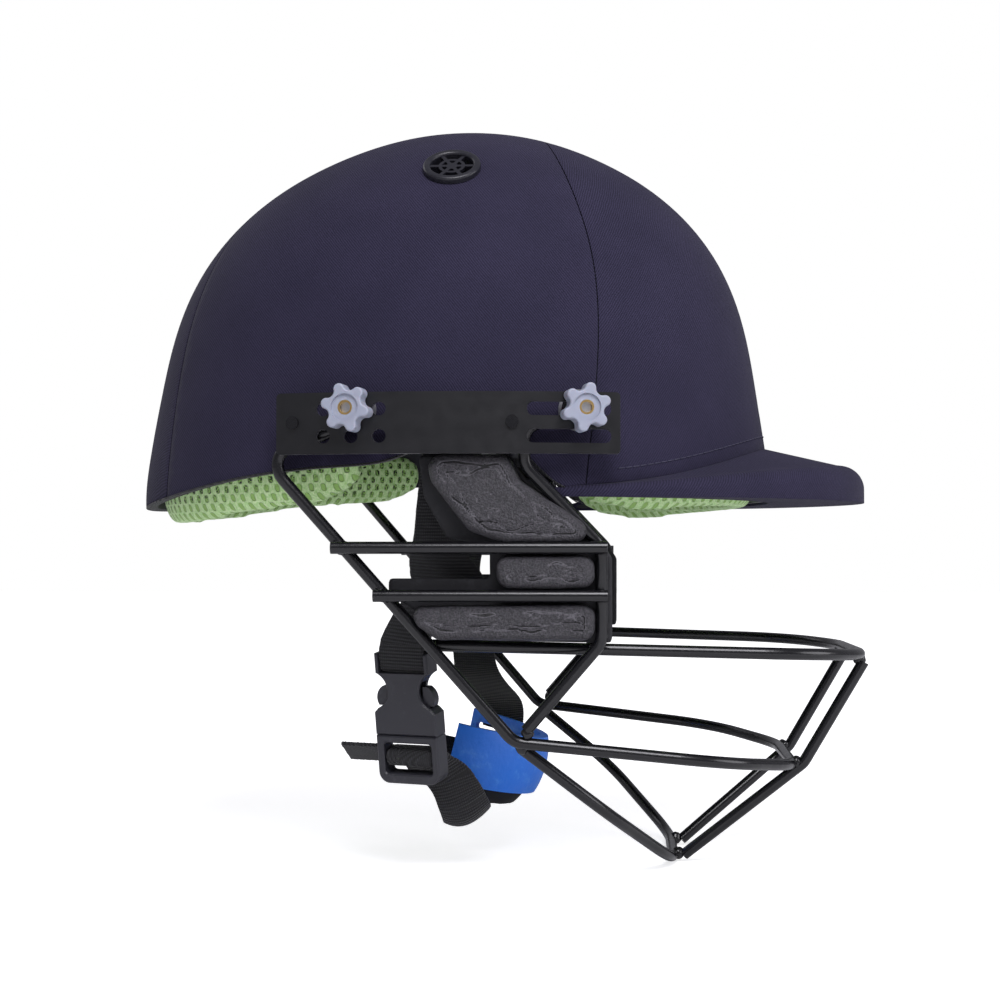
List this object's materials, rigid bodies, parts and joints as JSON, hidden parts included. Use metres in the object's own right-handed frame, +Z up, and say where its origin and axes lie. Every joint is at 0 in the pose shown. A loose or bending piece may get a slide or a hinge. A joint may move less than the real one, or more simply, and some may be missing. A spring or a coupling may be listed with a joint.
{
  "type": "cricket helmet",
  "caption": "Cloth-covered cricket helmet with a peak, a wire face guard on side plates with star knobs, cheek foam and a buckled chin strap with a blue chin cup.",
  "frame": {"origin": "middle of the head opening, level with the rim at the sides", "axes": "+X forward out of the face opening, +Y to the wearer's left, +Z up through the crown"},
  "size_m": [0.3115, 0.2492, 0.3117],
  "materials": {
    "shell_plastic": "moulded hard shell, hidden under the cloth",
    "navy_cloth": "dark navy twill, glued and sewn",
    "binding_tape": "black woven edge tape",
    "vent_plastic": "dark navy moulded grommet",
    "liner_foam": "dark rigid impact foam",
    "green_mesh": "pale green spacer mesh over foam",
    "plate_steel": "satin black coated steel, bright at the cut edges",
    "bright_steel": "zinc plated steel",
    "grey_washer": "grey nylon",
    "knob_plastic": "pale grey moulded nylon",
    "brass_insert": "turned brass",
    "coated_wire": "satin black powder coat",
    "sheet_foam": "thin black foam sheet",
    "pad_foam": "dark grey wrinkled skinned foam",
    "webbing": "black ribbed webbing",
    "buckle_plastic": "black acetal, finely grained",
    "blue_rubber": "bright blue soft plastic",
    "black_foam": "black closed-cell foam"
  },
  "bodies": {
    "helmet": {"shell": "shell_plastic", "peak": "shell_plastic", "peak_cover": "navy_cloth", "cover_front": "navy_cloth", "cover_rear": "navy_cloth", "cover_right": "navy_cloth", "cover_left": "navy_cloth", "rim_binding": "binding_tape", "crown_vent_right": "vent_plastic", "crown_vent_left": "vent_plastic", "impact_liner": "liner_foam", "crown_pad": "green_mesh", "nape_pad": "green_mesh", "brow_pad": "green_mesh", "side_plate_right": "plate_steel", "side_plate_left": "plate_steel", "plate_rivets": "plate_steel", "clamp_screws": "bright_steel", "clamp_washers": "grey_washer", "strap_rivets": "bright_steel", "grille_middle_bar": "coated_wire", "grille_top_bar": "coated_wire", "grille_chin_bar": "coated_wire", "grille_front_strut_right": "coated_wire", "grille_front_strut_left": "coated_wire", "cheek_bar_upper_right": "coated_wire", "cheek_bar_upper_left": "coated_wire", "cheek_bar_lower_right": "coated_wire", "cheek_bar_lower_left": "coated_wire", "grille_front_stay_right": "coated_wire", "grille_front_stay_left": "coated_wire", "cheek_sheet_right": "sheet_foam", "cheek_sheet_left": "sheet_foam", "cheek_pad_upper_right": "pad_foam", "cheek_pad_upper_left": "pad_foam", "cheek_pad_middle_right": "pad_foam", "cheek_pad_middle_left": "pad_foam", "cheek_pad_lower_right": "pad_foam", "cheek_pad_lower_left": "pad_foam"},
    "knob_rear_right": {"star_knob_rear_right": "knob_plastic", "knob_insert_rear_right": "brass_insert"},
    "knob_rear_left": {"star_knob_rear_left": "knob_plastic", "knob_insert_rear_left": "brass_insert"},
    "knob_front_right": {"star_knob_front_right": "knob_plastic", "knob_insert_front_right": "brass_insert"},
    "knob_front_left": {"star_knob_front_left": "knob_plastic", "knob_insert_front_left": "brass_insert"},
    "chin_strap": {"strap_web_right": "webbing", "strap_web_left": "webbing", "chin_web": "webbing", "strap_tail": "webbing", "chin_cup": "blue_rubber", "chin_cup_pad": "black_foam", "buckle_socket": "buckle_plastic", "buckle_plug": "buckle_plastic"},
    "prong_front": {"prong_front": "buckle_plastic"},
    "prong_rear": {"prong_rear": "buckle_plastic"}
  },
  "joints": [
    {"name": "knob_rear_right_turn", "type": "hinge", "parent": "helmet", "child": "knob_rear_right", "pos_m": [-0.02973, -0.11497, 0.0252], "axis": [-0.1135, -0.9935, 0], "continuous": true},
    {"name": "knob_rear_left_turn", "type": "hinge", "parent": "helmet", "child": "knob_rear_left", "pos_m": [-0.02973, 0.11497, 0.0252], "axis": [-0.1135, 0.9935, 0], "continuous": true},
    {"name": "knob_front_right_turn", "type": "hinge", "parent": "helmet", "child": "knob_front_right", "pos_m": [0.05796, -0.11017, 0.0252], "axis": [0.2212, -0.9752, 0], "continuous": true},
    {"name": "knob_front_left_turn", "type": "hinge", "parent": "helmet", "child": "knob_front_left", "pos_m": [0.05796, 0.11017, 0.0252], "axis": [0.2212, 0.9752, 0], "continuous": true},
    {"name": "chin_strap_swing", "type": "hinge", "parent": "helmet", "child": "chin_strap", "pos_m": [0.006, 0, 0.02151], "axis": [0, 1, 0], "range_deg": [-20, 20]},
    {"name": "prong_front_squeeze", "type": "hinge", "parent": "chin_strap", "child": "prong_front", "pos_m": [-0.00371, -0.07462, -0.09942], "axis": [-0.37, -0.9159, -0.1558], "range_deg": [0, 8], "stiffness_Nm_per_rad": 0.02},
    {"name": "prong_rear_squeeze", "type": "hinge", "parent": "chin_strap", "child": "prong_rear", "pos_m": [-0.02048, -0.06784, -0.09942], "axis": [0.37, 0.9159, 0.1558], "range_deg": [0, 8], "stiffness_Nm_per_rad": 0.02}
  ]
}
